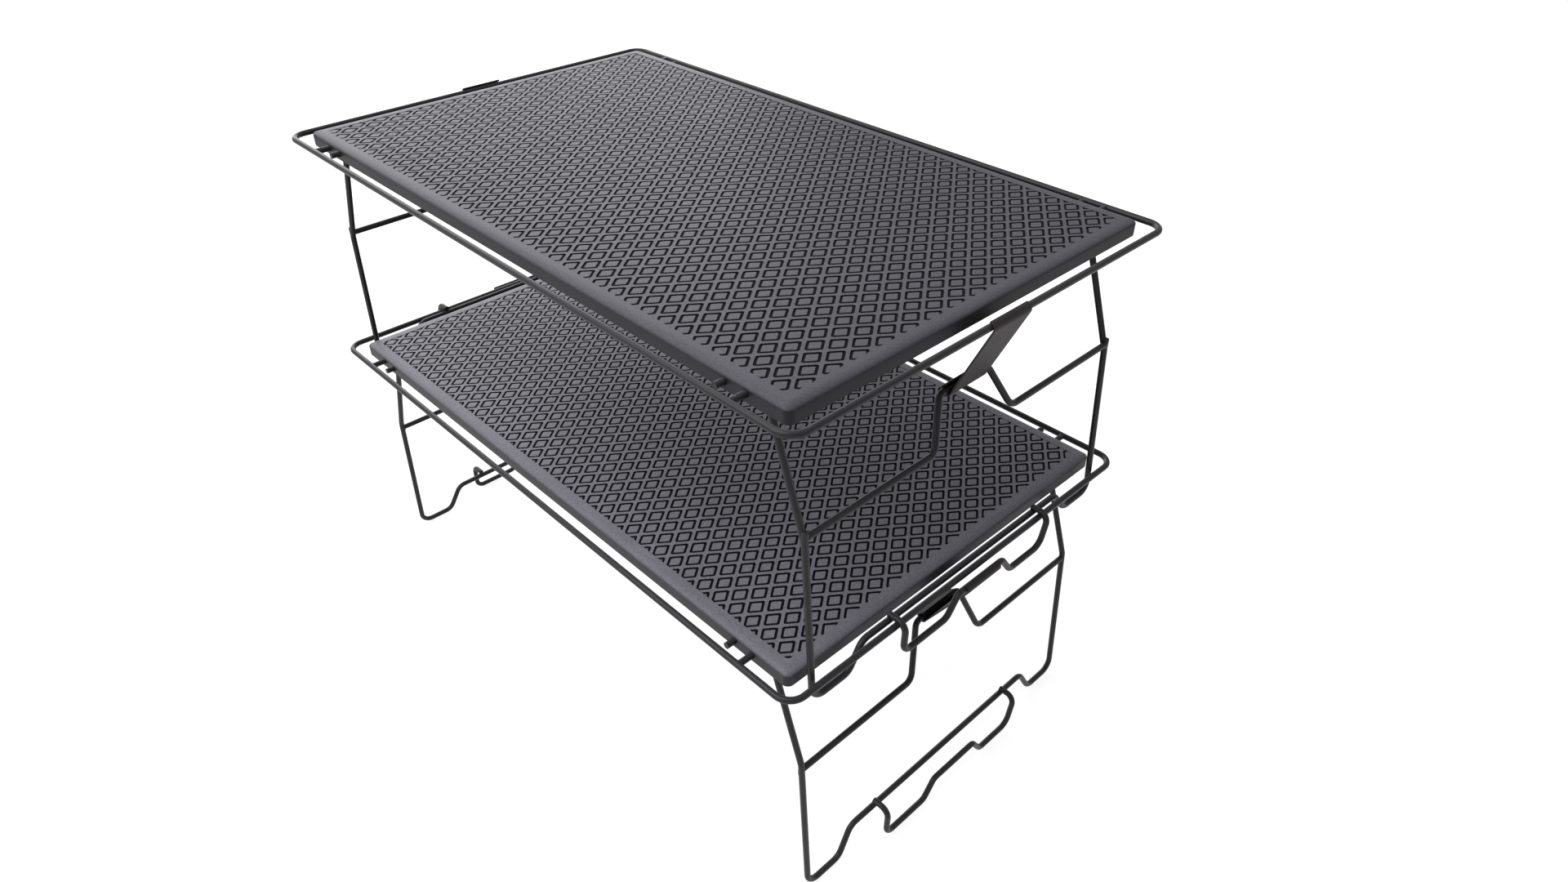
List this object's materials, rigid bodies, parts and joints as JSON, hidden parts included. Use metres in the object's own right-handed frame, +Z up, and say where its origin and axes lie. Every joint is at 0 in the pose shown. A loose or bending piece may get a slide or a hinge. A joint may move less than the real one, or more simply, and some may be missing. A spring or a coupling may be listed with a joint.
{
  "type": "cooling rack",
  "caption": "Stacking cooling rack with embossed diamond tray panels in wire rings, folding bent-wire legs, hook rails for stacking and spring latch plates.",
  "frame": {"origin": "on the floor under the centre of the rack", "axes": "+X along the long side of the trays, +Y along the short side, +Z up"},
  "size_m": [0.4154, 0.2468, 0.2931],
  "materials": {
    "tray_coating": "satin non-stick coating on sheet steel",
    "wire_coating": "satin non-stick coating on steel wire",
    "latch_coating": "matt coating on spring steel strip"
  },
  "bodies": {
    "lower_tier": {"lower_tray_panel": "tray_coating", "lower_ring_wire": "wire_coating", "lower_support_rod_left": "wire_coating", "lower_support_rod_right": "wire_coating"},
    "lower_legs_left": {"lower_leg_frame_left": "wire_coating", "lower_crossbar_left": "wire_coating", "lower_stacking_hook_left": "wire_coating"},
    "lower_latch_left": {"lower_latch_plate_left": "latch_coating"},
    "lower_legs_right": {"lower_leg_frame_right": "wire_coating", "lower_crossbar_right": "wire_coating", "lower_stacking_hook_right": "wire_coating"},
    "lower_latch_right": {"lower_latch_plate_right": "latch_coating"},
    "upper_tier": {"upper_tray_panel": "tray_coating", "upper_ring_wire": "wire_coating", "upper_support_rod_left": "wire_coating", "upper_support_rod_right": "wire_coating", "upper_leg_frame_left": "wire_coating", "upper_leg_frame_right": "wire_coating", "upper_crossbar_left": "wire_coating", "upper_crossbar_right": "wire_coating", "upper_stacking_hook_left": "wire_coating", "upper_stacking_hook_right": "wire_coating"},
    "upper_latch_left": {"upper_latch_plate_left": "latch_coating"},
    "upper_latch_right": {"upper_latch_plate_right": "latch_coating"}
  },
  "joints": [
    {"name": "upper_tier_lift", "type": "slide", "parent": "lower_tier", "child": "upper_tier", "axis": [0, 0, 1], "range_m": [0, 0.12]},
    {"name": "lower_leg_fold_left", "type": "hinge", "parent": "lower_tier", "child": "lower_legs_left", "pos_m": [-0.1563, 0, 0.1536], "axis": [0, -1, 0], "range_deg": [0, 92]},
    {"name": "lower_latch_open_left", "type": "hinge", "parent": "lower_legs_left", "child": "lower_latch_left", "pos_m": [-0.1822, 0, 0.1156], "axis": [0, -1, 0], "range_deg": [0, 100]},
    {"name": "lower_leg_fold_right", "type": "hinge", "parent": "lower_tier", "child": "lower_legs_right", "pos_m": [0.1563, 0, 0.1536], "axis": [0, 1, 0], "range_deg": [0, 92]},
    {"name": "lower_latch_open_right", "type": "hinge", "parent": "lower_legs_right", "child": "lower_latch_right", "pos_m": [0.1822, 0, 0.1156], "axis": [0, 1, 0], "range_deg": [0, 100]},
    {"name": "upper_latch_open_left", "type": "hinge", "parent": "upper_tier", "child": "upper_latch_left", "pos_m": [-0.1822, 0, 0.2513], "axis": [0, -1, 0], "range_deg": [0, 100]},
    {"name": "upper_latch_open_right", "type": "hinge", "parent": "upper_tier", "child": "upper_latch_right", "pos_m": [0.1822, 0, 0.2513], "axis": [0, 1, 0], "range_deg": [0, 100]}
  ]
}
